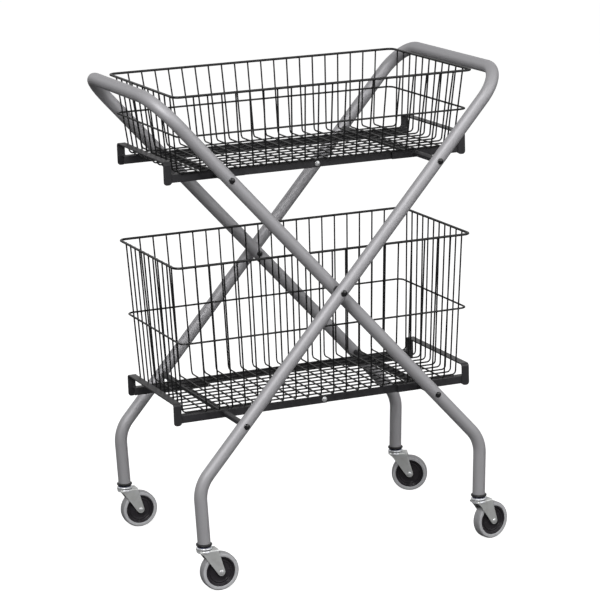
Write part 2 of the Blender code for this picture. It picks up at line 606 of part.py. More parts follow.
def build_caster(corner):
    """Leg socket, swivel fork, axle, hub and tyre."""
    frame, side, face = CORNERS[corner]
    stem = joints[corner + "_swivel"][1]
    hub = joints[corner + "_wheel"][1]
    way = math.radians(SWIVEL_DEG[corner])
    ahead = Vector((math.cos(way), math.sin(way), 0))
    across = Vector((-math.sin(way), math.cos(way), 0))
    up = Vector((0, 0, 1))
    foot = (stem.x, stem.y, 0)

    plug_top = LEG_END_Z + BORE_DEPTH - OVERLAP
    seat_z = LEG_END_Z - GAP
    profile = [(SOCKET_BORE_R, COLLAR_LOW_Z), (COLLAR_R, COLLAR_LOW_Z), (COLLAR_R, FLANGE_LOW_Z),
               (FLANGE_R - EDGE, FLANGE_LOW_Z), (FLANGE_R, FLANGE_LOW_Z + EDGE),
               (FLANGE_R, seat_z - EDGE), (FLANGE_R - EDGE, seat_z), (SOCKET_R, seat_z),
               (SOCKET_R, plug_top), (SOCKET_BORE_R, plug_top)]
    bm = lathe(profile, foot, up, 14, ring=True)
    add(corner + "_leg_socket", to_mesh(bm, "socket"), "socket_plastic", "frame_" + frame,
        smooth=True)

    # Fork: stem, race cup and top plate turned or boxed, legs as tapered plates
    turn = Matrix.Translation(Vector(foot)) @ Matrix.Rotation(way, 4, "Z")
    stem_top = plug_top - OVERLAP
    profile = [(0, RACE_LOW_Z), (RACE_R - 2 * EDGE, RACE_LOW_Z), (RACE_R, RACE_LOW_Z + 2 * EDGE),
               (RACE_R, FORK_TOP_Z), (RACE_R - EDGE, FORK_TOP_Z + EDGE / 2),
               (RACE_R, FORK_TOP_Z + EDGE), (RACE_R, RACE_TOP_Z - 2 * EDGE),
               (RACE_R - 2 * EDGE, RACE_TOP_Z), (STEM_R, RACE_TOP_Z), (STEM_R, stem_top),
               (0, stem_top)]
    body = lathe(profile, foot, up, 14)
    joint = corner + "_swivel"
    name = corner + "_fork"
    fork = add(name, to_mesh(body, "fork"), "zinc", joint, smooth=True)
    half_w = FORK_IN + FORK_T
    plate = box((-RACE_R * 0.72, -half_w, FORK_UNDER_Z), (FORK_REACH, half_w, FORK_TOP_Z))
    plate.transform(turn)
    boolean(fork, add(name + "_plate", to_mesh(plate, "plate"), None, joint, hidden=True), "UNION")
    for hand in (-1, 1):
        knuckle = (TRAIL, WHEEL_R)
        top = FORK_TOP_Z - EDGE / 2
        outline = arc(knuckle, FORK_FOOT_R, -0.80 * math.pi, 0.06 * math.pi, 5)
        outline += [(FORK_REACH - EDGE / 2, FORK_UNDER_Z - 2 * EDGE), (FORK_REACH - EDGE / 2, top),
                    (-RACE_R * 0.66, top), (-RACE_R * 0.66, FORK_UNDER_Z - 2 * EDGE)]
        inner, outer = hand * FORK_IN, hand * (FORK_IN + FORK_T - EDGE / 6)
        leg = prism(outline, min(inner, outer), max(inner, outer), "xz")
        cut = hole(AXLE_R, (TRAIL, -half_w * 2, WHEEL_R), (TRAIL, half_w * 2, WHEEL_R))
        leg.transform(turn)
        cut.transform(turn)
        hand_name = "outer" if hand < 0 else "inner"
        boolean(fork, add(f"{name}_{hand_name}_leg", to_mesh(leg, "leg"), None, joint, hidden=True),
                "UNION")
        if hand > 0:
            boolean(fork, add(name + "_hole", to_mesh(cut, "hole"), None, joint, hidden=True),
                    "DIFFERENCE")

    end = FORK_IN + FORK_T + GAP / 2
    profile = dome(AXLE_HEAD_R, -end, -AXLE_HEAD_H)[::-1] + [(AXLE_R, -end), (AXLE_R, end)]
    profile += dome(AXLE_HEAD_R, end, AXLE_HEAD_H)
    bm = lathe(profile, hub, across, 10)
    add(corner + "_axle", to_mesh(bm, "axle"), "zinc", joint, smooth=True)

    half = HUB_W / 2
    bore = AXLE_R + GAP / 2
    boss_r = WHEEL_R * 0.24
    rim_in = TYRE_IN_R - 3 * EDGE
    rim_half = TYRE_W / 2 - EDGE
    web = TYRE_W / 4
    profile = [(bore, -half), (boss_r, -half), (boss_r, -web), (rim_in, -web), (rim_in, -rim_half),
               (TYRE_IN_R - GAP, -rim_half), (TYRE_IN_R - GAP, rim_half), (rim_in, rim_half),
               (rim_in, web), (boss_r, web), (boss_r, half), (bore, half)]
    bm = lathe(profile, hub, across, 18, ring=True)
    add(corner + "_hub", to_mesh(bm, "hub"), "hub_plastic", corner + "_wheel", smooth=True)

    half = TYRE_W / 2
    profile = [(TYRE_IN_R, -half + EDGE), (WHEEL_R - 5 * EDGE, -half), (WHEEL_R - 1.5 * EDGE, -half + 2 * EDGE),
               (WHEEL_R, -half * 0.45), (WHEEL_R, half * 0.45), (WHEEL_R - 1.5 * EDGE, half - 2 * EDGE),
               (WHEEL_R - 5 * EDGE, half), (TYRE_IN_R, half - EDGE)]
    bm = lathe(profile, hub, across, 24, ring=True)
    add(corner + "_tyre", to_mesh(bm, "tyre"), "tyre_rubber", corner + "_wheel", smooth=True)


for frame in ("a", "b"):
    build_frame(frame)
for face in (-1, 1):
    build_pivot_pin(face)
for level, half in HALVES:
    build_hoop(level, half)
    build_cross_bar(level, half)
    for face in (-1, 1):
        build_hinge_rail(level, half, face)
for level in BASKETS:
    for face in (-1, 1):
        build_hinge_rivet(level, face)
    build_basket(level)
for corner in CORNERS:
    build_caster(corner)
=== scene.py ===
"""Looks of the folding utility cart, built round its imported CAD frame. Metres, +Z up, front at -Y."""
import math
import random

import bmesh
import bpy
from bpy.props import FloatProperty, FloatVectorProperty, IntProperty, PointerProperty
from mathutils import Matrix, Vector


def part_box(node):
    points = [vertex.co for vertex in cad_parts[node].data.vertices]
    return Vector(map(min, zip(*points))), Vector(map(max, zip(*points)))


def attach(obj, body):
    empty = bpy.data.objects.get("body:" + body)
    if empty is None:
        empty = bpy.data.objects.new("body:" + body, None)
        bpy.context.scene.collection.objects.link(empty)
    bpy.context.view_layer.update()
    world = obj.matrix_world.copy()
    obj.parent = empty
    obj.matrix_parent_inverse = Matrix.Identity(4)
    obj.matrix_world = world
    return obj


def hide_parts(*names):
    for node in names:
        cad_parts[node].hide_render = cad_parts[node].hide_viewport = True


bl_info = {
    "name": "Folding Utility Cart",
    "version": (1, 0, 0),
    "blender": (4, 5, 0),
    "location": "View3D > Sidebar > Cart",
    "description": "Builds a folding cart with crossed tube frames, two wire baskets and four casters",
    "category": "Add Mesh",
}

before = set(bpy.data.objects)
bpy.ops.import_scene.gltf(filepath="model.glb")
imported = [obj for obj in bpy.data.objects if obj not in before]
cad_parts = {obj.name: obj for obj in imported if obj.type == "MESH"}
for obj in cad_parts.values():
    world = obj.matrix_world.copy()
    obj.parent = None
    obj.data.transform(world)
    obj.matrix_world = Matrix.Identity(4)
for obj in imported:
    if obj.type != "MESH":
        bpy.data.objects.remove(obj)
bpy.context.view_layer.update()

UP = (0, 0, 1)
TURN = 2 * math.pi
QUARTER = TURN / 4
SIDE = {"left": -1, "right": 1}
FACE = {"front": -1, "back": 1}
SLACK = 0.0003
SHARP = math.radians(30)
SAME_POINT = 0.000005

# Frames and their legs
PIVOT_Z = 0.557
ARM_X, ARM_Z = 0.211, 0.237
LEAN = math.atan2(ARM_X, ARM_Z)
HANDLE_REACH = 0.536
HANDLE_SIDE = {"a": SIDE["left"], "b": SIDE["right"]}
FRAME_Y = {"a": 0.197, "b": 0.227}
LEG_X, LEG_END_Z, LEG_STUB_Z = 0.3035, 0.098, 0.102
LEG_TOE = math.radians(2.3)
LEG_FRAME = {"left": "b", "right": "a"}
PIVOT_R, WASHER_IN, WASHER_OUT, WASHER_EDGE = 0.004, 0.0042, 0.0100, 0.0006

# Trays
TRAY_Z = {"upper": PIVOT_Z + ARM_Z, "lower": PIVOT_Z - ARM_Z}
TRAY_FRAME = {("upper", "left"): "a", ("upper", "right"): "b",
              ("lower", "left"): "b", ("lower", "right"): "a"}
BAR = 0.016
RAIL_Y = 0.1293
TUBE_EDGE, TUBE_WALL, MOUTH_DEPTH = 0.0014, 0.0006, 0.010
TUBE_END = {"left": 0.151, "right": 0.160}
ROD_R, ROD_EDGE = 0.0062, 0.0008
HOOP_X, HOOP_Y, HOOP_TOP, HOOP_FOOT = 0.319, 0.132, 0.0335, 0.0115
HOOP_THICK, HOOP_EDGE, HOOP_BEND, HOOP_FOOT_R, HOOP_NARROW = 0.003, 0.0007, 0.0055, 0.006, 0.96
STRAP_DEPTH = {"left": 0.0008, "right": 0.0041}
STRAP_THICK, STRAP_EDGE, STRAP_END_R, STRAP_PAST, STRAP_INSIDE = 0.0030, 0.0006, 0.0077, 0.011, 0.009

# Radii of the weld beads, how far they sink in, and their shape as shares of the radius
RAIL_BEAD, HOOP_BEAD, ROD_BEAD, SEAM_SINK = 0.0012, 0.0011, 0.0010, 0.0001
BEAD_BEND, BEAD_STEP, BEAD_WAVE = 1.5, 0.9, 0.10

# Baskets
BASKETS = {
    "upper": {"rim": (0.311, 0.184, 0.957), "foot": (0.292, 0.1625), "hoop_z": 0.880,
              "end_pitch": 0.0300},
    "lower": {"rim": (0.314, 0.159, 0.6255), "foot": (0.2955, 0.1455), "hoop_z": 0.4747,
              "end_pitch": 0.0255},
}
LONG_PITCH = 0.0286
CORNER_R, FOOT_BEND = 0.014, 0.008
RIM_LAP, RIM_RISE, HOOP_LAP, CROSS_LAP = 0.0005, 0.0006, 0.0004, 0.0003

# Rivet heads as radius and height, the shank under them, and a dome's shape as shares of its size
PIVOT_HEAD, PIVOT_TAIL, ARM_HEAD = (0.0066, 0.0029), (0.0060, 0.0026), (0.0060, 0.0031)
CENTRE_HEAD, AXLE_HEAD = (0.0055, 0.0031), (0.0048, 0.0021)
SHANK_R, SHANK_IN, ARM_SINK, CENTRE_SINK = 0.003, 0.002, 0.0002, 0.0001
DOME_FOOT, DOME_EDGE, DOME_RIM = 0.96, 0.985, 0.22

# Casters, each with how far its fork is turned from trailing straight
CASTERS = {"front_left": 0.0, "back_left": 0.0, "front_right": 12.0, "back_right": -26.0}
WHEEL_R, TRAIL = 0.038, 0.029
FORK_HALF, FORK_TOP, FORK_BEND, FORK_FOOT_R = 0.0136, 0.0856, 0.0038, 0.0072
FORK_THICK, FORK_BULGE = 0.0020, 0.0006
FORK_REAR, FORK_FRONT = (-0.0078, 0.0790), (0.0250, 0.0800)
FLARE, FLARE_MOST, FLARE_Z, FLARE_RISE = 0.0030, 0.0040, 0.0740, 0.0080
CROWN_R, CROWN_FRONT, CROWN_REAR = 0.0152, 0.0246, -0.0118
AXLE_END = 0.0134
HUB_RIM, HUB_HALF, HUB_WEB = 0.0261, 0.0092, 0.0052

# Stage, with the camera as it was fitted to the photo
FLOOR_SEEN, FLOOR_BOUNCE = (0.86, 0.86, 0.86), (0.13, 0.13, 0.13)
FLOOR_GLOW, FLOOR_GLOW_SHARE = 1.42, 0.64
ROOM_SEEN, ROOM_BASE = 1.02, 0.045
ROOM_BACK, ROOM_CEILING, ROOM_RIGHT, ROOM_BELOW = 0.42, 0.17, 0.34, 0.12
LAMPS = {
    "key_lamp": ((-2.7, -3.1, 3.8), 0.5, 2.7, 214),
    "fill_lamp": ((2.6, -4.4, 3.0), 0.5, 6.0, 150),
    "back_lamp": ((-2.2, 3.0, 2.6), 0.6, 2.0, 12),
    "spark_lamp": ((-2.0, -3.4, 3.0), 0.5, 0.40, 8),
}
CAMERA_ANGLES = [math.radians(angle) for angle in (-22.9, 13.1, -1.8)]
CAMERA_TARGET, CAMERA_DISTANCE = Vector((0.0086, 0, 0.4947)), 5.424
FOCAL_PIXELS, PHOTO_PIXELS, SENSOR = 2699.4, 600, 36


class CartSizes(bpy.types.PropertyGroup):
    """Sizes that a user would change."""

    tube_radius: FloatProperty(name="Frame tube radius", description="Outside radius of the bent tube",
                               default=0.0127, min=0.008, max=0.02, unit="LENGTH")
    handle_bend: FloatProperty(name="Handle bend", description="Centre line radius of the handle's bends",
                               default=0.070, min=0.04, max=0.12, unit="LENGTH")
    leg_bend: FloatProperty(name="Leg bend", description="Centre line radius of the bend above each leg",
                            default=0.070, min=0.05, max=0.15, unit="LENGTH")
    wire_radius: FloatProperty(name="Basket wire radius", description="Radius of upright and floor wires",
                               default=0.0016, min=0.0008, max=0.003, unit="LENGTH")
    rim_radius: FloatProperty(name="Rim wire radius", description="Radius of the wire round the rim",
                              default=0.0025, min=0.001, max=0.005, unit="LENGTH")
    hoop_radius: FloatProperty(name="Hoop wire radius", description="Radius of the wire round the walls",
                               default=0.0019, min=0.001, max=0.004, unit="LENGTH")
    long_wires: IntProperty(name="Wires along a side", description="Upright wires on each long wall",
                            default=20, min=6, max=40)
    end_wires: IntProperty(name="Wires along an end", description="Upright wires on each end wall",
                           default=11, min=4, max=24)


class CartColours(bpy.types.PropertyGroup):
    """Colours that a user would change."""

    tube: FloatVectorProperty(name="Frame tube", description="Silver-grey coat of the bent tubes",
                              subtype="COLOR", size=3, min=0, max=1, default=(0.395, 0.39, 0.405))
    tray: FloatVectorProperty(name="Tray", description="Black coat of the square tube",
                              subtype="COLOR", size=3, min=0, max=1, default=(0.023, 0.0223, 0.0247))
    wire: FloatVectorProperty(name="Basket", description="Black coat of the wires",
                              subtype="COLOR", size=3, min=0, max=1, default=(0.008, 0.008, 0.0085))
    tyre: FloatVectorProperty(name="Tyre", description="Grey rubber of the tyres",
                              subtype="COLOR", size=3, min=0, max=1, default=(0.46, 0.46, 0.475))
    hub: FloatVectorProperty(name="Hub", description="Dark plastic of the wheel hubs",
                             subtype="COLOR", size=3, min=0, max=1, default=(0.025, 0.0225, 0.026))
    zinc: FloatVectorProperty(name="Zinc plate", description="Plated steel of the forks and axles",
                              subtype="COLOR", size=3, min=0, max=1, default=(0.61, 0.61, 0.605))


# Shader helpers

def new_group(name, inputs, outputs):
    """A shader group with named float sockets: {name: default} in, names out."""
    tree = bpy.data.node_groups.new(name, "ShaderNodeTree")
    for label, default in inputs.items():
        socket = tree.interface.new_socket(name=label, in_out="INPUT", socket_type="NodeSocketFloat")
        socket.default_value = default
    for label in outputs:
        tree.interface.new_socket(name=label, in_out="OUTPUT", socket_type="NodeSocketFloat")
    return tree, tree.nodes.new("NodeGroupInput").outputs, tree.nodes.new("NodeGroupOutput").inputs


def feed(tree, socket, value):
    """Gives an input another node's output, a colour or a plain value."""
    if isinstance(value, bpy.types.NodeSocket):
        tree.links.new(value, socket)
    elif socket.type == "RGBA":
        socket.default_value = (*value, 1)
    else:
        socket.default_value = value


def feed_named(tree, made, values):
    """Feeds a node's inputs by their names in small letters. Of two with one name, the first is fed."""
    sockets = {socket.name.lower().replace(" ", "_"): socket for socket in made.inputs.values()[::-1]}
    for key, value in values.items():
        feed(tree, sockets[key], value)


def node(tree, kind, **values):
    made = tree.nodes.new(kind)
    feed_named(tree, made, values)
    return made


def maths(tree, operation, *terms):
    """A Math node on numbers or sockets."""
    made = tree.nodes.new("ShaderNodeMath")
    made.operation = operation
    for socket, term in zip(made.inputs, terms):
        feed(tree, socket, term)
    return made.outputs[0]


def times(tree, first, second):
    """The product of two values, each a number or a socket."""
    return maths(tree, "MULTIPLY", first, second)


def remap(tree, source, low, high, to_low=0.0, to_high=1.0):
    """Stretches one range of a value to another and holds it within the ends."""
    made = node(tree, "ShaderNodeMapRange", value=source, from_min=low, from_max=high,
                to_min=to_low, to_max=to_high)
    return made.outputs[0]


def noise(tree, place, scale, detail):
    made = node(tree, "ShaderNodeTexNoise", vector=place, scale=scale, detail=detail)
    return made.outputs[0]


def object_place(tree):
    return tree.nodes.new("ShaderNodeTexCoord").outputs["Object"]


def mix_colour(tree, share, first, second):
    """Mixes two colours, each a tuple or a socket, by a share socket."""
    made = tree.nodes.new("ShaderNodeMix")
    made.data_type = "RGBA"
    colours_in = [socket for socket in made.inputs if socket.type == "RGBA"]
    for socket, value in zip([made.inputs["Factor"]] + colours_in, (share, first, second)):
        feed(tree, socket, value)
    return next(socket for socket in made.outputs if socket.type == "RGBA")


def shade(colour, share):
    return tuple(channel * share for channel in colour)


# Shader groups

def coat_texture():
    """Fine ripple and broad tone of a sprayed and baked coat."""
    tree, given, out = new_group("Coat Texture", {"Ripple Scale": 900.0, "Ripple": 0.5, "Tone Scale": 14.0},
                                 ["Height", "Tone", "Speck"])
    place = object_place(tree)
    speck = node(tree, "ShaderNodeTexVoronoi", vector=place, scale=2600.0)
    ripple = noise(tree, place, given["Ripple Scale"], 1.5)
    feed(tree, out["Height"], times(tree, ripple, given["Ripple"]))
    feed(tree, out["Tone"], noise(tree, place, given["Tone Scale"], 3.0))
    feed(tree, out["Speck"], speck.outputs["Color"])
    return tree


def handling_marks():
    """Rub marks and fine scratches left by use and storage."""
    tree, given, out = new_group("Handling Marks", {"Scale": 30.0, "Amount": 0.5}, ["Mask", "Scratch"])
    place = object_place(tree)
    stretch = node(tree, "ShaderNodeMapping", vector=place, scale=(260, 60, 900), rotation=(0.4, 0.7, 0.2))
    mask = remap(tree, noise(tree, place, given["Scale"], 4.0), 0.45, 0.75)
    scratch = remap(tree, noise(tree, stretch.outputs[0], 1.0, 2.0), 0.66, 0.74)
    feed(tree, out["Mask"], times(tree, mask, given["Amount"]))
    feed(tree, out["Scratch"], times(tree, times(tree, scratch, mask), given["Amount"]))
    return tree


def edge_wear():
    """Where a coat is rubbed thin on corners."""
    tree, given, out = new_group("Edge Wear", {"Start": 0.53, "End": 0.62, "Amount": 0.5}, ["Mask"])
    point = tree.nodes.new("ShaderNodeNewGeometry").outputs["Pointiness"]
    edge = remap(tree, point, given["Start"], given["End"])
    chips = remap(tree, noise(tree, object_place(tree), 140.0, 4.0), 0.45, 0.65)
    feed(tree, out["Mask"], times(tree, times(tree, edge, chips), given["Amount"]))
    return tree


def settled_dust():
    """A thin film of dust on faces that look up."""
    tree, given, out = new_group("Settled Dust", {"Amount": 0.3}, ["Mask"])
    normal = tree.nodes.new("ShaderNodeNewGeometry").outputs["Normal"]
    up = remap(tree, node(tree, "ShaderNodeSeparateXYZ", vector=normal).outputs["Z"], 0.5, 1.0)
    patch = remap(tree, noise(tree, object_place(tree), 45.0, 5.0), 0.35, 0.7)
    feed(tree, out["Mask"], times(tree, times(tree, up, patch), given["Amount"]))
    return tree


GROUPS = {}


def use_group(tree, maker, **values):
    """A shared group in a material, with this material's own values. Each group is made once."""
    if maker not in GROUPS:
        GROUPS[maker] = maker()
    made = tree.nodes.new("ShaderNodeGroup")
    made.node_tree = GROUPS[maker]
    feed_named(tree, made, values)
    return made.outputs


# Materials

def surface(tree, coat, strength, distance, **values):
    """Feeds the Principled shader, with the coat's ripple as its bump."""
    bump = node(tree, "ShaderNodeBump", height=coat["Height"], strength=strength, distance=distance)
    feed_named(tree, tree.nodes["Principled BSDF"], {"normal": bump.outputs[0], **values})


def tube_coat(tree, colour):
    """Silver-grey metallic powder coat."""
    coat = use_group(tree, coat_texture, ripple_scale=620.0, ripple=0.7, tone_scale=9.0)
    marks = use_group(tree, handling_marks, scale=22.0, amount=0.6)
    flake = mix_colour(tree, coat["Speck"], shade(colour, 0.93), shade(colour, 1.07))
    cloudy = mix_colour(tree, remap(tree, coat["Tone"], 0.3, 0.7, 0.0, 0.35), flake, shade(colour, 0.93))
    marked = mix_colour(tree, marks["Scratch"], cloudy, shade(colour, 1.25))
    rough = remap(tree, marks["Mask"], 0.0, 1.0, 0.60, 0.53)
    surface(tree, coat, 0.10, 0.0006, base_color=marked, roughness=rough,
            metallic=0.38, coat_weight=0.04, coat_roughness=0.30)


def black_coat(tree, colour):
    """Black powder coat on the square tube, rubbed a little on its corners."""
    coat = use_group(tree, coat_texture, ripple_scale=800.0, ripple=0.8, tone_scale=16.0)
    wear = use_group(tree, edge_wear, start=0.54, end=0.66, amount=0.35)
    dust = use_group(tree, settled_dust, amount=0.10)
    marks = use_group(tree, handling_marks, scale=40.0, amount=0.5)
    base = mix_colour(tree, coat["Tone"], shade(colour, 0.8), shade(colour, 1.4))
    rubbed = mix_colour(tree, wear["Mask"], base, (0.12, 0.12, 0.125))
    scraped = mix_colour(tree, marks["Scratch"], rubbed, (0.07, 0.07, 0.072))
    dusty = mix_colour(tree, dust["Mask"], scraped, (0.30, 0.29, 0.27))
    rough = remap(tree, marks["Mask"], 0.0, 1.0, 0.40, 0.33)
    surface(tree, coat, 0.14, 0.0006, base_color=dusty, roughness=rough,
            specular_ior_level=0.34, coat_weight=0.05, coat_roughness=0.3)


def wire_coat(tree, colour):
    """Glossy black coat that runs over the wires and their welds."""
    coat = use_group(tree, coat_texture, ripple_scale=420.0, ripple=0.6, tone_scale=20.0)
    marks = use_group(tree, handling_marks, scale=50.0, amount=0.5)
    dust = use_group(tree, settled_dust, amount=0.08)
    base = mix_colour(tree, coat["Tone"], shade(colour, 0.85), shade(colour, 1.3))
    scraped = mix_colour(tree, marks["Scratch"], base, (0.06, 0.06, 0.062))
    dusty = mix_colour(tree, dust["Mask"], scraped, (0.25, 0.24, 0.23))
    rough = remap(tree, marks["Mask"], 0.0, 1.0, 0.27, 0.36)
    surface(tree, coat, 0.25, 0.0005, base_color=dusty, roughness=rough,
            specular_ior_level=0.35, coat_weight=0.06, coat_roughness=0.25)


def zinc_plate(tree, colour, roughness, metallic):
    """Bright zinc with a faint cloudy passivation."""
    coat = use_group(tree, coat_texture, ripple_scale=1200.0, ripple=0.5, tone_scale=60.0)
    marks = use_group(tree, handling_marks, scale=90.0, amount=0.8)
    wear = use_group(tree, edge_wear, start=0.52, end=0.60, amount=0.6)
    warm, cold = ([channel * share for channel, share in zip(colour, tint)]
                  for tint in ((0.95, 0.96, 0.92), (1.02, 1.04, 1.07)))
    tinted = mix_colour(tree, coat["Tone"], warm, cold)
    cloudy = mix_colour(tree, marks["Mask"], tinted, shade(colour, 0.84))
    bright = mix_colour(tree, wear["Mask"], cloudy, shade(colour, 1.3))
    rough = remap(tree, coat["Tone"], 0.2, 0.8, roughness - 0.05, roughness + 0.07)
    surface(tree, coat, 0.06, 0.0003, base_color=bright, roughness=rough, metallic=metallic)


def rubber(tree, colour):
    """Grey rubber with a fine moulded bloom and dust."""
    coat = use_group(tree, coat_texture, ripple_scale=1500.0, ripple=1.0, tone_scale=55.0)
    dust = use_group(tree, settled_dust, amount=0.15)
    marks = use_group(tree, handling_marks, scale=120.0, amount=0.8)
    base = mix_colour(tree, coat["Tone"], shade(colour, 0.92), shade(colour, 1.08))
    scuffed = mix_colour(tree, marks["Mask"], base, shade(colour, 0.82))
    dusty = mix_colour(tree, dust["Mask"], scuffed, (0.42, 0.41, 0.39))
    rough = remap(tree, marks["Mask"], 0.0, 1.0, 0.52, 0.66)
    surface(tree, coat, 0.15, 0.0003, base_color=dusty, roughness=rough, specular_ior_level=0.35)


def moulded_plastic(tree, colour, roughness, gloss=0.5, grain=0.15):
    """Dark moulded plastic with a faint grain."""
    coat = use_group(tree, coat_texture, ripple_scale=1100.0, ripple=0.8, tone_scale=70.0)
    dust = use_group(tree, settled_dust, amount=0.06)
    base = mix_colour(tree, coat["Tone"], shade(colour, 0.8), shade(colour, 1.25))
    dusty = mix_colour(tree, dust["Mask"], base, (0.2, 0.2, 0.2))
    rough = remap(tree, coat["Tone"], 0.2, 0.8, roughness - 0.05, roughness + 0.08)
    surface(tree, coat, grain, 0.0003, base_color=dusty, roughness=rough, specular_ior_level=gloss)


def finish_choices():
    """Each finish by name: its maker, its colour and the maker's other settings."""
    picked = bpy.context.scene.cart_colours
    return {
        "silver_powder_coat": (tube_coat, picked.tube),
        "black_powder_coat": (black_coat, picked.tray),
        "black_wire_coat": (wire_coat, picked.wire),
        "zinc_plate": (zinc_plate, picked.zinc, 0.38, 0.50),
        "bright_race": (zinc_plate, (0.86, 0.86, 0.89), 0.32, 0.60),
        "bright_rivet": (zinc_plate, (0.74, 0.74, 0.75), 0.34, 0.60),
        "grey_rubber": (rubber, picked.tyre),
        # A darker copy of the tyre's rubber: painted shade on the tread, which faces away from the light
        "worn_rubber": (rubber, shade(picked.tyre, 0.62)),
        "moulded_hub": (moulded_plastic, picked.hub, 0.22, 0.40, 0.05),
        "black_nylon": (moulded_plastic, (0.012, 0.012, 0.013), 0.42),
        "blue_seal": (moulded_plastic, (0.01, 0.016, 0.10), 0.4),
        "blackened_rivet": (moulded_plastic, (0.008, 0.008, 0.009), 0.18, 0.6, 0.02),
    }


FINISHES = {}


def finish_of(name):
    """A finish by name. Each is made once."""
    if name not in FINISHES:
        maker, colour, *settings = finish_choices()[name]
        made = bpy.data.materials.new(name)
        made.use_nodes = True
        maker(made.node_tree, colour, *settings)
        FINISHES[name] = made
    return FINISHES[name]


# Mesh helpers

def add_object(name, data):
    """A new object in the scene."""
    made = bpy.data.objects.new(name, data)
    bpy.context.scene.collection.objects.link(made)
    return made


def mesh_of(bm, name):
    """A mesh that takes over a bmesh."""
    mesh = bpy.data.meshes.new(name)
    bm.to_mesh(mesh)
    bm.free()
    return mesh


def keep(bm, name, body, finish, nodes=(), smooth_deg=40):
    """Turns a bmesh built in place into a piece that rides on a body and stands for CAD nodes."""
    bmesh.ops.recalc_face_normals(bm, faces=bm.faces)
    mesh = mesh_of(bm, name)
    for face in mesh.polygons:
        face.use_smooth = True
    mesh.set_sharp_from_angle(angle=math.radians(smooth_deg))
    obj = add_object(name, mesh)
    mesh.materials.append(finish_of(finish))
    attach(obj, body)
    if nodes:
        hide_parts(*nodes)
    flats = obj.modifiers.new("flat faces stay flat", "WEIGHTED_NORMAL")
    flats.keep_sharp = True


def merge(pieces):
    """Several bmeshes as one."""
    whole = bmesh.new()
    for bm in pieces:
        bmesh.ops.recalc_face_normals(bm, faces=bm.faces)
        holder = mesh_of(bm, "part")
        whole.from_mesh(holder)
        bpy.data.meshes.remove(holder)
    return whole


def soften(bm, width, segments):
    """Rounds every sharp edge."""
    sharp = [edge for edge in bm.edges
             if len(edge.link_faces) == 2 and edge.calc_face_angle(0) > SHARP]
    bmesh.ops.bevel(bm, geom=sharp, offset=width, segments=segments, profile=0.5, affect="EDGES",
                    clamp_overlap=True)


def box(low, high, width, segments):
    """A block from one corner to the other, with rounded edges."""
    bm = bmesh.new()
    bmesh.ops.create_cube(bm, size=1)
    low, high = Vector(low), Vector(high)
    bm.transform(Matrix.Translation((low + high) / 2) @ Matrix.Diagonal((*(high - low), 1)))
    soften(bm, width, segments)
    return bm


def prism(outline, start, end, width, segments):
    """An outline of (x, z) points pushed along Y, with rounded edges."""
    bm = bmesh.new()
    verts = [bm.verts.new((x, start, z)) for x, z in outline]
    edges = [bm.edges.new(pair) for pair in zip(verts, verts[1:] + verts[:1])]
    ring = bmesh.ops.contextual_create(bm, geom=edges)
    pushed = bmesh.ops.extrude_face_region(bm, geom=ring["faces"], use_keep_orig=True)
    new = [item for item in pushed["geom"] if isinstance(item, bmesh.types.BMVert)]
    bmesh.ops.translate(bm, verts=new, vec=(0, end - start, 0))
    bmesh.ops.recalc_face_normals(bm, faces=bm.faces)
    soften(bm, width, segments)
    return bm


def bridge(bm, rings):
    """Faces from each ring of points to the next, and a cap at both ends."""
    for first, second in zip(rings, rings[1:]):
        for j in range(len(first)):
            k = (j + 1) % len(first)
            bm.faces.new((first[j], first[k], second[k], second[j]))
    bm.faces.new(rings[0][::-1])
    bm.faces.new(rings[-1])


def arc(centre, radius, start, end, steps):
    return [(centre[0] + radius * math.cos(start + (end - start) * i / steps),
             centre[1] + radius * math.sin(start + (end - start) * i / steps))
            for i in range(steps + 1)]


def lathe(profile, origin, axis, steps, ring=False):
    """Turns (radius, along) pairs about an axis. A ring's profile is closed."""
    bm = bmesh.new()
    points = profile + [profile[0]] if ring else profile
    verts = [bm.verts.new((r, 0, a)) for r, a in points]
    edges = [bm.edges.new(pair) for pair in zip(verts, verts[1:])]
    bmesh.ops.spin(bm, geom=verts + edges, cent=(0, 0, 0), axis=UP, dvec=(0, 0, 0),
                   angle=TURN, steps=steps, use_merge=False, use_duplicate=False)
    bmesh.ops.remove_doubles(bm, verts=bm.verts, dist=SAME_POINT)
    turn = Vector(axis).to_track_quat("Z", "Y").to_matrix().to_4x4()
    bm.transform(Matrix.Translation(Vector(origin)) @ turn)
    return bm


def mirrored(half):
    """A half profile of (radius, along) pairs with its mirror image before it."""
    return [(r, -a) for r, a in reversed(half)] + half


def rounded(profile, radius, steps=3):
    """An open (radius, along) profile with its inner corners rounded."""
    out = [profile[0]]
    for before, here, after in zip(profile, profile[1:], profile[2:]):
        here_v = Vector(here)
        back, ahead = Vector(before) - here_v, Vector(after) - here_v
        reach = min(radius, back.length * 0.49, ahead.length * 0.49)
        first, last = here_v + back.normalized() * reach, here_v + ahead.normalized() * reach
        for i in range(steps + 1):
            t = i / steps
            out.append(tuple(first * (1 - t) ** 2 + here_v * 2 * t * (1 - t) + last * t ** 2))
    out.append(profile[-1])
    return out


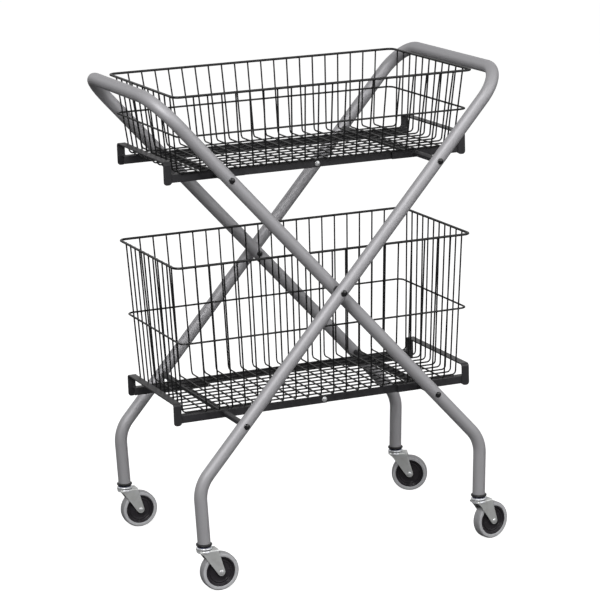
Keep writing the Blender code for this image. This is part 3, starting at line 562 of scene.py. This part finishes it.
def rounded_path(corners, radii, steps, closed=False):
    """A line of 3-D points with corners replaced by arcs."""
    corners = [Vector(corner) for corner in corners]
    points = [] if closed else [corners[0]]
    if closed:
        sets = zip(corners[-1:] + corners, corners, corners[1:] + corners[:1])
    else:
        sets = zip(corners, corners[1:], corners[2:])
    for (before, here, after), radius in zip(sets, radii):
        back, ahead = (before - here).normalized(), (after - here).normalized()
        half = back.angle(ahead) / 2
        middle = here + (back + ahead).normalized() * (radius / math.sin(half))
        first = here + back * (radius / math.tan(half)) - middle
        last = here + ahead * (radius / math.tan(half)) - middle
        sweep = first.angle(last)
        for i in range(steps + 1):
            share = i / steps
            points.append(middle + (first * math.sin((1 - share) * sweep)
                                    + last * math.sin(share * sweep)) / math.sin(sweep))
    if not closed:
        points.append(corners[-1])
    return points


def swept(lines, radius, sides, closed=False):
    """Round wires or tubes along lines of points, all in one bmesh."""
    curve = bpy.data.curves.new("path", "CURVE")
    curve.dimensions = "3D"
    curve.bevel_depth = radius
    curve.bevel_resolution = (sides - 4) // 2
    curve.use_fill_caps = True
    for points in lines:
        line = curve.splines.new("POLY")
        line.points.add(len(points) - 1)
        for point, place in zip(line.points, points):
            point.co = (*place, 1)
        line.use_cyclic_u = closed
    holder = add_object("path", curve)
    bpy.context.view_layer.update()
    mesh = bpy.data.meshes.new_from_object(holder.evaluated_get(bpy.context.evaluated_depsgraph_get()))
    bpy.data.objects.remove(holder)
    bpy.data.curves.remove(curve)
    bm = bmesh.new()
    bm.from_mesh(mesh)
    bpy.data.meshes.remove(mesh)
    return bm


def weld_bead(corners, radius, seed, closed=False):
    """A wavy bead laid along or round a joint."""
    chance = random.Random(seed)
    line = rounded_path(corners, [radius * BEAD_BEND] * len(corners), 3, closed)
    dense = []
    for here, after in zip(line, line[1:] + line[:1] if closed else line[1:]):
        steps = max(1, int((after - here).length / (radius * BEAD_STEP)))
        dense += [here.lerp(after, i / steps) for i in range(steps)]
    bm = swept([dense], radius, 8, closed)
    for vert in bm.verts:
        vert.co += Vector([chance.uniform(-1, 1) for _ in range(3)]) * radius * BEAD_WAVE
    return bm


def dome_head(size, under):
    """Half profile of a domed rivet head by radius and height, standing on along = under."""
    radius, height = size
    edge, rim = radius * DOME_EDGE, height * DOME_RIM
    points = [(radius * DOME_FOOT, under), (radius, under + rim * 0.5), (edge, under + rim)]
    for i in range(1, 7):
        angle = QUARTER * i / 6
        points.append((edge * math.cos(angle), under + rim + (height - rim) * math.sin(angle)))
    points[-1] = (0.0, under + height)
    return points


# The bent tube frames

def build_frame(key):
    """One bent tube: leg, crossing side, handle, crossing side, leg."""
    sizes = bpy.context.scene.cart_sizes
    side, y = HANDLE_SIDE[key], FRAME_Y[key]
    toe, lean = math.tan(LEG_TOE), math.tan(LEAN)
    foot_x = -side * LEG_X
    knee_z = (PIVOT_Z * lean - LEG_X + LEG_STUB_Z * toe) / (lean + toe)
    knee_x = -side * (PIVOT_Z - knee_z) * lean
    top_x, top_z = side * HANDLE_REACH * math.sin(LEAN), PIVOT_Z + HANDLE_REACH * math.cos(LEAN)
    half = [(foot_x, -y, LEG_STUB_Z), (knee_x, -y, knee_z), (top_x, -y, top_z)]
    corners = half + [(x, y, z) for x, _, z in reversed(half)]
    bends = [sizes.leg_bend, sizes.handle_bend, sizes.handle_bend, sizes.leg_bend]
    line = [(foot_x, -y, LEG_END_Z)] + rounded_path(corners, bends, 22) + [(foot_x, y, LEG_END_Z)]
    keep(swept([line], sizes.tube_radius, 32), f"frame_{key}_bent_tube", "frame_" + key,
         "silver_powder_coat", [f"frame_{key}_tube"])


def build_pivots():
    """The rivets through both frames and the washers between them."""
    tube = bpy.context.scene.cart_sizes.tube_radius
    inner, outer = FRAME_Y["a"] - tube, FRAME_Y["b"] + tube
    low, high = FRAME_Y["a"] + tube + SLACK, FRAME_Y["b"] - tube - SLACK
    for where, face in FACE.items():
        tail = [(r, 2 * inner - a) for r, a in dome_head(PIVOT_TAIL, inner)]
        profile = tail[::-1] + [(PIVOT_R, inner), (PIVOT_R, outer)] + dome_head(PIVOT_HEAD, outer)
        keep(lathe(profile, (0, 0, PIVOT_Z), (0, face, 0), 40), where + "_pivot_rivet", "centre_pivot",
             "blackened_rivet", [where + "_pivot_pin"])
        ring = [(WASHER_IN, low), (WASHER_OUT, low), (WASHER_OUT, high), (WASHER_IN, high)]
        washer = lathe(rounded(ring, WASHER_EDGE), (0, 0, PIVOT_Z), (0, face, 0), 40, ring=True)
        keep(washer, where + "_pivot_washer", "centre_pivot", "black_nylon",
             [where + "_pivot_spacer"])


# The jack-knifing trays

def keep_steel(bm, name, half_name, nodes=(), smooth_deg=40):
    """Keeps a coated steel piece of a tray half."""
    keep(bm, name, half_name + "_tray", "black_powder_coat", nodes, smooth_deg)


def bent_strap(line, low_x, high_x):
    """A flat strap along (y, z) points, with rounded edges and rounded feet."""
    bm = bmesh.new()
    line = [Vector(point) for point in line]
    gone = [0.0]
    for here, after in zip(line, line[1:]):
        gone.append(gone[-1] + (after - here).length)
    rings = []
    for i, point in enumerate(line):
        along = (line[min(i + 1, len(line) - 1)] - line[max(i - 1, 0)]).normalized()
        normal = Vector((-along.y, along.x))
        near = min(gone[i], gone[-1] - gone[i])
        inset = HOOP_FOOT_R - math.sqrt(max(0.0, HOOP_FOOT_R ** 2 - max(0.0, HOOP_FOOT_R - near) ** 2))
        half_w, half_t = (high_x - low_x) / 2 - inset * HOOP_NARROW, HOOP_THICK / 2
        ring = []
        for start, (sx, st) in enumerate(((1, 1), (-1, 1), (-1, -1), (1, -1))):
            for j in range(4):
                angle = QUARTER * (start + j / 3)
                across = sx * (half_w - HOOP_EDGE) + HOOP_EDGE * math.cos(angle)
                out = st * (half_t - HOOP_EDGE) + HOOP_EDGE * math.sin(angle)
                place = point + normal * out
                ring.append(bm.verts.new(((low_x + high_x) / 2 + across, place.x, place.y)))
        rings.append(ring)
    bridge(bm, rings)
    return bm


def build_hoop(level, half):
    """The end hoop of a tray half, and the welds that hold its rails."""
    side, z, name = SIDE[half], TRAY_Z[level], f"{level}_{half}"
    y, top, foot = HOOP_Y - HOOP_THICK / 2, z + HOOP_TOP - HOOP_THICK / 2, z - HOOP_FOOT
    leg = [(y, foot + HOOP_FOOT_R * (1 - math.cos(QUARTER * i / 7))) for i in range(8)]
    line = leg + arc((y - HOOP_BEND, top - HOOP_BEND), HOOP_BEND, 0, QUARTER, 9)
    line += [(-u, v) for u, v in reversed(line)]
    low, high = sorted((side * (HOOP_X - BAR), side * HOOP_X))
    keep_steel(bent_strap(line, low, high), name + "_bent_hoop", name, [name + "_end_hoop"], 60)
    edge_x, end, beads = side * (HOOP_X - BAR), side * (HOOP_X - BAR / 2), []
    for face in FACE.values():
        seam_y = face * (RAIL_Y - SEAM_SINK)
        for way in (1, -1):
            height = z + way * BAR / 2
            seam = [(edge_x, seam_y, height), (end, seam_y, height)]
            beads.append(weld_bead(seam, RAIL_BEAD, face + 5 * way))
        seam = [(edge_x, seam_y, z - BAR / 2), (edge_x, seam_y, z + BAR / 2)]
        beads.append(weld_bead(seam, HOOP_BEAD, face + 11))
    keep_steel(merge(beads), name + "_hoop_welds", name)


def open_mouth(tube, side):
    """Sinks a tube's end face on one side, so that its wall shows."""
    mouth = max((f for f in tube.faces if abs(f.normal.x) > 0.99 and f.calc_area() > 0.0001),
                key=lambda f: side * f.calc_center_median().x)
    bmesh.ops.inset_region(tube, faces=[mouth], thickness=TUBE_WALL)
    bmesh.ops.translate(tube, verts=mouth.verts, vec=(-side * MOUTH_DEPTH, 0, 0))


def build_cross_bar(level, half):
    """The round bar of a tray half, its rivets through the frame and its welds to the rails."""
    tube = bpy.context.scene.cart_sizes.tube_radius
    name, x, z, y = f"{level}_{half}", SIDE[half] * ARM_X, TRAY_Z[level], FRAME_Y[TRAY_FRAME[level, half]]
    reach = y - tube - SLACK
    end = rounded([(0.0, 0.0), (ROD_R, 0.0), (ROD_R, reach)], ROD_EDGE)[:-1]
    rod = mirrored([(r, reach - a) for r, a in reversed(end)])
    keep_steel(lathe(rod, (x, 0, z), (0, 1, 0), 36), name + "_round_bar", name, [name + "_cross_bar"])
    rivets, beads = [], []
    for face in FACE.values():
        shank = [(0.0, reach - SHANK_IN), (SHANK_R, reach - SHANK_IN), (SHANK_R, y + tube)]
        head = dome_head(ARM_HEAD, y + tube - ARM_SINK)
        rivets.append(lathe(shank + head, (x, 0, z), (0, face, 0), 36))
        for depth in (0.0, BAR):
            at = face * (RAIL_Y - depth)
            ring = [(u, at, v) for u, v in arc((x, z), ROD_R + SLACK, 0, TURN, 20)[:-1]]
            beads.append(weld_bead(ring, ROD_BEAD, face + 9 + int(depth * 1000), closed=True))
    keep(merge(rivets), name + "_arm_rivets", name + "_tray", "blackened_rivet")
    keep_steel(merge(beads), name + "_bar_welds", name)


def build_hinge_rail(level, half, where):
    """A rail of square tube with open ends, and the strap that laps at the centre hinge."""
    side, face, z, name = SIDE[half], FACE[where], TRAY_Z[level], f"{level}_{half}_{where}"
    low_x, high_x = sorted((side * (HOOP_X - BAR / 2), side * TUBE_END[half]))
    low_y, high_y = sorted((face * RAIL_Y, face * (RAIL_Y - BAR)))
    tube = box((low_x, low_y, z - BAR / 2), (high_x, high_y, z + BAR / 2), TUBE_EDGE, 3)
    open_mouth(tube, side)
    open_mouth(tube, -side)
    past, deep = side * (STRAP_END_R - STRAP_PAST), side * (TUBE_END[half] + STRAP_INSIDE)
    outline = [(past - side * u, z + v) for u, v in arc((0, 0), STRAP_END_R, -QUARTER, QUARTER, 16)]
    outline += [(deep, z + STRAP_END_R), (deep, z - STRAP_END_R)]
    outer = RAIL_Y - STRAP_DEPTH[half]
    strap = prism(outline, *sorted((face * outer, face * (outer - STRAP_THICK))), STRAP_EDGE, 2)
    keep_steel(merge([tube, strap]), name + "_hinge_rail", f"{level}_{half}", [name + "_rail"])


def build_hinge_rivet(level, where):
    """The silver rivet at a tray's centre hinge."""
    outer = RAIL_Y - STRAP_DEPTH["left"]
    shank = [(0.0, outer - STRAP_THICK), (SHANK_R, outer - STRAP_THICK), (SHANK_R, outer)]
    rivet = lathe(shank + dome_head(CENTRE_HEAD, outer - CENTRE_SINK), (0, 0, TRAY_Z[level]),
                  (0, FACE[where], 0), 40)
    keep(rivet, f"{level}_{where}_centre_rivet", f"{level}_left_tray", "bright_rivet",
         [f"{level}_{where}_hinge_rivet"])


# The wire baskets

def ring_line(half_x, half_y, z):
    """A closed line round a basket with round corners."""
    corners = [(half_x, half_y, z), (-half_x, half_y, z), (-half_x, -half_y, z), (half_x, -half_y, z)]
    return rounded_path(corners, [CORNER_R] * 4, 8, closed=True)


def bent_wires(count, pitch, narrow, top, foot, lengthwise):
    """Lines down one wall, along the bottom and up the other wall. Top and foot are (half span, z)."""
    lines = []
    for i in range(count):
        place = pitch * (i - (count - 1) / 2)
        half = [(place, top[0], top[1]), (place * narrow, foot[0], foot[1])]
        line = [(x, -y, z) for x, y, z in half] + half[::-1]
        if lengthwise:
            line = [(y, x, z) for x, y, z in line]
        lines.append(rounded_path(line, [FOOT_BEND] * 2, 6))
    return lines


def build_basket(level):
    """The rim, the hoop and both sets of bent wires."""
    sizes, basket, body = bpy.context.scene.cart_sizes, BASKETS[level], level + "_basket"
    (rim_x, rim_y, rim_z), (foot_x, foot_y), hoop_z = basket["rim"], basket["foot"], basket["hoop_z"]
    thin, thick, hoop_r = sizes.wire_radius, sizes.rim_radius, sizes.hoop_radius
    long_z = TRAY_Z[level] + BAR / 2 + SLACK + thin
    cross_z = long_z + 2 * thin - CROSS_LAP
    lap, top_z = thick + thin - RIM_LAP, rim_z + RIM_RISE
    cross_wires = bent_wires(sizes.long_wires, LONG_PITCH, foot_x / rim_x,
                             (rim_y - lap, top_z), (foot_y, cross_z), False)
    long_wires = bent_wires(sizes.end_wires, basket["end_pitch"], foot_y / rim_y,
                            (rim_x - lap, top_z), (foot_x, long_z), True)
    share, out = (hoop_z - cross_z) / (rim_z - cross_z), thin + hoop_r - HOOP_LAP
    hoop_x, hoop_y = (foot + (rim - lap - foot) * share + out
                      for foot, rim in ((foot_x, rim_x), (foot_y, rim_y)))
    for name, wires, nodes in (
            ("rim_wire", swept([ring_line(rim_x, rim_y, rim_z)], thick, 16, closed=True), ["rim"]),
            ("cross_wires", swept(cross_wires, thin, 10), ["front_wall", "back_wall", "cross_wires"]),
            ("long_wires", swept(long_wires, thin, 10), ["left_wall", "right_wall", "long_wires"]),
            ("hoop_wire", swept([ring_line(hoop_x, hoop_y, hoop_z)], hoop_r, 14, closed=True), [])):
        keep(wires, f"{level}_{name}", body, "black_wire_coat",
             [f"{body}_{part}" for part in nodes])


# The casters

def fork_edge(point, way):
    """X of a fork leg's straight edge by height, and the height where it meets the foot's circle."""
    dx, dz = point[0] - TRAIL, point[1] - WHEEL_R
    angle = math.atan2(dz, dx) + way * math.acos(FORK_FOOT_R / math.hypot(dx, dz))
    touch = (TRAIL + FORK_FOOT_R * math.cos(angle), WHEEL_R + FORK_FOOT_R * math.sin(angle))
    slope = (point[0] - touch[0]) / (point[1] - touch[1])
    return lambda z: touch[0] + slope * (z - touch[1]), touch[1]


def fork_span(z):
    """X of a fork leg's rear and front edges at a height."""
    (rear_at, rear_z), (front_at, front_z) = fork_edge(FORK_REAR, 1), fork_edge(FORK_FRONT, -1)
    round_half = math.sqrt(max(0.0, FORK_FOOT_R ** 2 - (z - WHEEL_R) ** 2))
    flare = FLARE * max(0.0, (z - FLARE_Z) / FLARE_RISE) ** 2
    rear = TRAIL - round_half if z <= rear_z else rear_at(z) - min(flare, FLARE_MOST)
    return rear, TRAIL + round_half if z <= front_z else front_at(z)


def fork_rows():
    """Places along the bent sheet as (y, z), outward normal, and X of the rear and front edges."""
    bend_y, bend_z = FORK_HALF - FORK_BEND, FORK_TOP - FORK_BEND
    heights = [WHEEL_R - FORK_FOOT_R * math.cos(QUARTER * (i + 0.3) / 7) for i in range(7)]
    heights += [WHEEL_R + (bend_z - WHEEL_R) * i / 9 for i in range(9)]
    rows = [((FORK_HALF, z), (1, 0), fork_span(z)) for z in heights]
    rear, front = fork_span(bend_z)
    for i in range(7):
        out, up = math.cos(QUARTER * i / 6), math.sin(QUARTER * i / 6)
        rows.append(((bend_y + FORK_BEND * out, bend_z + FORK_BEND * up), (out, up),
                     (rear + (CROWN_REAR - rear) * i / 6, front + (CROWN_FRONT - front) * i / 6)))
    for i in range(1, 9):
        y = bend_y * (1 - i / 9)
        rows.append(((y, FORK_TOP), (0, 1), (-math.sqrt(CROWN_R ** 2 - y ** 2), CROWN_FRONT)))
    return rows + [((-y, z), (-ny, nz), reach) for (y, z), (ny, nz), reach in reversed(rows[:-1])]


def bent_fork():
    """One bent sheet: crown plate, rounded shoulders and two legs that narrow to the axle."""
    bm, rings, columns = bmesh.new(), [], 8
    for (y, z), (ny, nz), (rear, front) in fork_rows():
        xs = [rear + (front - rear) * j / (columns - 1) for j in range(columns)]
        ring = [bm.verts.new((x, y, z)) for x in xs]
        middle = (y - ny * FORK_THICK / 2, z - nz * FORK_THICK / 2)
        ring.append(bm.verts.new((front + FORK_BULGE, *middle)))
        ring += [bm.verts.new((x, y - ny * FORK_THICK, z - nz * FORK_THICK)) for x in reversed(xs)]
        ring.append(bm.verts.new((rear - FORK_BULGE, *middle)))
        rings.append(ring)
    bridge(bm, rings)
    return bm


def build_leg_socket(corner, body, stem):
    """The flange at the tube's end and the dust seal under it."""
    flange = rounded([(0.0048, 0.0914), (0.0124, 0.0914), (0.0125, 0.0934), (0.0146, 0.0934),
                      (0.0159, 0.0943), (0.0159, 0.0968), (0.0146, 0.0977), (0.0048, 0.0977)], 0.0009)
    keep(lathe(flange, stem, UP, 48, ring=True), corner + "_leg_flange", body, "black_nylon",
         [corner + "_leg_socket"])
    seal = rounded([(0.0046, 0.09085), (0.0134, 0.09085), (0.0136, 0.0916), (0.0046, 0.0916)], 0.0003)
    keep(lathe(seal, stem, UP, 44, ring=True), corner + "_dust_seal", body, "blue_seal")


def build_swivel(corner, body, turn):
    """The two races, a black ring that paints the shade in the gap between them, and the fork."""
    cup = rounded([(0.0, 0.0864), (0.0148, 0.0864), (0.0155, 0.0871), (0.0155, 0.0888), (0.0148, 0.0900),
                   (0.0133, 0.0907), (0.0, 0.0907)], 0.0008)
    skirt = rounded([(0.0, 0.0800), (0.0143, 0.0797), (0.0152, 0.0806), (0.0153, 0.0824), (0.0147, 0.0842),
                     (0.0132, 0.0853), (0.0110, 0.0856), (0.0, 0.0856)], 0.0010)
    races = merge([lathe(profile, (0, 0, 0), UP, 48) for profile in (cup, skirt)])
    # A black ring set back in the gap between the races: painted shade, where the gap is only in shadow
    gap = [(0.0100, 0.0854), (0.0139, 0.0854), (0.0139, 0.0867), (0.0100, 0.0867)]
    painted_shade_ring, yoke = lathe(gap, (0, 0, 0), UP, 40, ring=True), bent_fork()
    for piece in (races, painted_shade_ring, yoke):
        piece.transform(turn)
    keep(races, corner + "_swivel_races", body, "bright_race")
    keep(painted_shade_ring, corner + "_race_gap", body, "black_nylon")
    keep(yoke, corner + "_yoke", body, "zinc_plate", [corner + "_fork"], smooth_deg=62)


def build_axle(corner, body, hub, across):
    """The rivet through the fork's legs, with a head on both ends."""
    half = [(SHANK_R, AXLE_END)] + dome_head(AXLE_HEAD, AXLE_END)
    keep(lathe(mirrored(half), hub, across, 32), corner + "_axle_rivet", body, "bright_rivet",
         [corner + "_axle"])


def build_wheel(corner, body, hub, across):
    """The hub disc, the tyre's walls and its tread, as half profiles from the outside in."""
    disc = [(0.0296, HUB_HALF), (HUB_RIM + 0.0008, HUB_HALF), (HUB_RIM, HUB_WEB + 0.0016),
            (HUB_RIM - 0.0010, HUB_WEB), (0.0225, HUB_WEB), (0.0219, HUB_WEB + 0.0016),
            (0.0212, HUB_WEB + 0.0016), (0.0206, HUB_WEB), (0.0100, HUB_WEB + 0.0004), (0.0092, 0.0100),
            (0.0078, 0.0108), (0.0032, 0.0108)]
    keep(lathe(rounded(mirrored(disc), 0.0006), hub, across, 64, ring=True), corner + "_hub_disc", body,
         "moulded_hub", [corner + "_hub"])
    wall = [(0.0360, 0.0080), (0.0359, 0.0096), (0.0352, 0.0101), (0.0305, 0.0100), (0.0298, 0.0092)]
    keep(lathe(rounded(mirrored(wall), 0.0006, 2), hub, across, 80, ring=True), corner + "_tyre_wall", body,
         "grey_rubber", [corner + "_tyre"])
    # The tread and the walls' outer edge take the darker rubber, which paints their shade
    tread = [(0.0380, 0.0056), (0.0376, 0.0078), (0.0364, 0.0093), (0.0352, 0.0093)]
    keep(lathe(rounded(mirrored(tread), 0.0009), hub, across, 80, ring=True), corner + "_tread", body,
         "worn_rubber")


def build_caster(corner):
    """One caster from its leg down, with its fork turned as in the photo."""
    where, half = corner.split("_")
    key = LEG_FRAME[half]
    stem = Vector((SIDE[half] * LEG_X, FACE[where] * FRAME_Y[key], 0))
    turn = Matrix.Translation(stem) @ Matrix.Rotation(math.radians(CASTERS[corner]), 4, "Z")
    across = turn.to_3x3() @ Vector((0, 1, 0))
    hub = turn @ Vector((TRAIL, 0, WHEEL_R))
    build_leg_socket(corner, "frame_" + key, stem)
    build_swivel(corner, corner + "_swivel", turn)
    build_axle(corner, corner + "_swivel", hub, across)
    build_wheel(corner, corner + "_wheel", hub, across)


# Stage

def camera_sees(tree):
    """One for the camera's own rays and for rays through glass, zero for all others."""
    rays = tree.nodes.new("ShaderNodeLightPath").outputs
    return maths(tree, "MAXIMUM", rays["Is Camera Ray"], rays["Is Transmission Ray"])


def pale_floor():
    """The camera sees the floor white with its shadow kept. Other rays meet a duller grey."""
    made = bpy.data.materials.new("pale_floor")
    made.use_nodes = True
    tree = made.node_tree
    tree.nodes.remove(tree.nodes["Principled BSDF"])
    seen = camera_sees(tree)
    pale = mix_colour(tree, noise(tree, object_place(tree), 3.0, 2.0), shade(FLOOR_SEEN, 0.995), FLOOR_SEEN)
    diffuse = node(tree, "ShaderNodeBsdfDiffuse", color=mix_colour(tree, seen, FLOOR_BOUNCE, pale))
    glow = node(tree, "ShaderNodeEmission", color=(1, 1, 1), strength=FLOOR_GLOW)
    mixed = tree.nodes.new("ShaderNodeMixShader")
    sources = (times(tree, seen, FLOOR_GLOW_SHARE), diffuse.outputs[0], glow.outputs[0])
    for socket, source in zip(mixed.inputs, sources):
        feed(tree, socket, source)
    feed(tree, tree.nodes["Material Output"].inputs["Surface"], mixed.outputs[0])
    return made


def build_floor():
    """A wide floor. Folding pushes the wheels down, so each wheel's centre keeps it a radius below."""
    bm = bmesh.new()
    bmesh.ops.create_circle(bm, cap_ends=True, segments=96, radius=40)
    floor = add_object("studio_floor", mesh_of(bm, "studio_floor"))
    floor.data.materials.append(pale_floor())
    for corner in CASTERS:
        low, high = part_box(corner + "_tyre")
        centre = add_object(corner + "_wheel_centre", None)
        centre.location = (low + high) / 2
        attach(centre, corner + "_wheel")
        below = floor.constraints.new("FLOOR")
        below.target, below.floor_location = centre, "FLOOR_NEGATIVE_Z"
        below.offset = (low.z - high.z) / 2


def room_light(tree):
    """Brightness by direction: a white sweep behind, a bright ceiling, dark behind the camera."""
    place = tree.nodes.new("ShaderNodeTexCoord").outputs["Generated"]
    way = node(tree, "ShaderNodeSeparateXYZ", vector=place).outputs
    back = remap(tree, way["Y"], 0.1, 0.9, 0.0, ROOM_BACK)
    ceiling = remap(tree, way["Z"], 0.25, 0.9, 0.0, ROOM_CEILING)
    right = remap(tree, way["X"], -0.2, 0.9, 0.0, ROOM_RIGHT)
    below = remap(tree, way["Z"], -0.35, 0.0, ROOM_BELOW, 1.0)
    total = maths(tree, "ADD", maths(tree, "ADD", maths(tree, "MAXIMUM", back, ceiling), right), ROOM_BASE)
    return times(tree, total, below)


def build_room():
    """A plain white room behind the cart, which lights it by direction."""
    world = bpy.data.worlds.new("studio")
    bpy.context.scene.world = world
    world.use_nodes = True
    tree = world.node_tree
    strength = maths(tree, "MAXIMUM", room_light(tree), times(tree, camera_sees(tree), ROOM_SEEN))
    background = tree.nodes["Background"].inputs
    feed(tree, background["Strength"], strength)
    feed(tree, background["Color"], (1, 1, 1))


def soft_lamp(name, place, target_z, size, power):
    """A round lamp that faces a height on the cart's middle line."""
    light = bpy.data.lights.new(name, "AREA")
    light.shape, light.size, light.energy = "DISK", size, power
    lamp = add_object(name, light)
    lamp.location = place
    lamp.rotation_euler = (Vector((0, 0, target_z)) - Vector(place)).to_track_quat("-Z", "Y").to_euler()


def photo_camera():
    """The camera as it was fitted to the photo."""
    turn, tilt, roll = CAMERA_ANGLES
    away = Vector((math.sin(turn) * math.cos(tilt), -math.cos(turn) * math.cos(tilt), math.sin(tilt)))
    right = (-away).cross(Vector(UP)).normalized()
    up = right.cross(-away)
    side, top = math.cos(roll) * right + math.sin(roll) * up, -math.sin(roll) * right + math.cos(roll) * up
    data = bpy.data.cameras.new("photo_camera")
    data.sensor_width, data.lens, data.clip_end = SENSOR, SENSOR * FOCAL_PIXELS / PHOTO_PIXELS, 100
    camera = add_object("photo_camera", data)
    camera.matrix_world = Matrix((side, top, away)).transposed().to_4x4()
    camera.location = CAMERA_TARGET + away * CAMERA_DISTANCE
    bpy.context.scene.camera = camera


def build_stage():
    """The floor, the room, the lamps and the camera."""
    bpy.context.scene.view_settings.view_transform = "Standard"
    build_floor()
    build_room()
    for name, settings in LAMPS.items():
        soft_lamp(name, *settings)
    photo_camera()


# The add-on's operators and panel

class CART_OT_frames(bpy.types.Operator):
    """Bends the two crossed tube frames"""

    bl_idname = "cart.frames"
    bl_label = "Bent tube frames"

    def execute(self, context):
        for key in FRAME_Y:
            build_frame(key)
        return {"FINISHED"}


class CART_OT_pivots(bpy.types.Operator):
    """Adds the rivets and washers where the frames cross"""

    bl_idname = "cart.pivots"
    bl_label = "Centre pivots"

    def execute(self, context):
        build_pivots()
        return {"FINISHED"}


class CART_OT_trays(bpy.types.Operator):
    """Builds the hoops, bars, hinge rails and rivets of both trays"""

    bl_idname = "cart.trays"
    bl_label = "Jack-knifing trays"

    def execute(self, context):
        for level, half in TRAY_FRAME:
            build_hoop(level, half)
            build_cross_bar(level, half)
            for where in FACE:
                build_hinge_rail(level, half, where)
        for level in TRAY_Z:
            for where in FACE:
                build_hinge_rivet(level, where)
        return {"FINISHED"}


class CART_OT_baskets(bpy.types.Operator):
    """Bends and welds the wires of both baskets"""

    bl_idname = "cart.baskets"
    bl_label = "Wire baskets"

    def execute(self, context):
        for level in BASKETS:
            build_basket(level)
        return {"FINISHED"}


class CART_OT_casters(bpy.types.Operator):
    """Builds the four swivel casters"""

    bl_idname = "cart.casters"
    bl_label = "Swivel casters"

    def execute(self, context):
        for corner in CASTERS:
            build_caster(corner)
        return {"FINISHED"}


class CART_OT_stage(bpy.types.Operator):
    """Adds the pale floor, the soft lamps and the camera"""

    bl_idname = "cart.stage"
    bl_label = "Studio stage"

    def execute(self, context):
        build_stage()
        return {"FINISHED"}


STEPS = (CART_OT_frames, CART_OT_pivots, CART_OT_trays, CART_OT_baskets, CART_OT_casters, CART_OT_stage)


class CART_PT_panel(bpy.types.Panel):
    """Sizes, colours and build steps of the cart"""

    bl_label = "Folding Cart"
    bl_idname = "CART_PT_panel"
    bl_space_type = "VIEW_3D"
    bl_region_type = "UI"
    bl_category = "Cart"

    def draw(self, context):
        column = self.layout.column()
        for group in (context.scene.cart_sizes, context.scene.cart_colours):
            for key in group.__annotations__:
                column.prop(group, key)
            column.separator()
        for step in STEPS:
            column.operator(step.bl_idname)


CLASSES = (CartSizes, CartColours, *STEPS, CART_PT_panel)


def register():
    for cls in CLASSES:
        bpy.utils.register_class(cls)
    bpy.types.Scene.cart_sizes = PointerProperty(type=CartSizes)
    bpy.types.Scene.cart_colours = PointerProperty(type=CartColours)


def unregister():
    del bpy.types.Scene.cart_colours
    del bpy.types.Scene.cart_sizes
    for cls in reversed(CLASSES):
        bpy.utils.unregister_class(cls)


def main():
    register()
    bpy.ops.cart.frames()
    bpy.ops.cart.pivots()
    bpy.ops.cart.trays()
    bpy.ops.cart.baskets()
    bpy.ops.cart.casters()
    bpy.ops.cart.stage()
    bpy.context.view_layer.update()


if __name__ == "__main__":
    main()
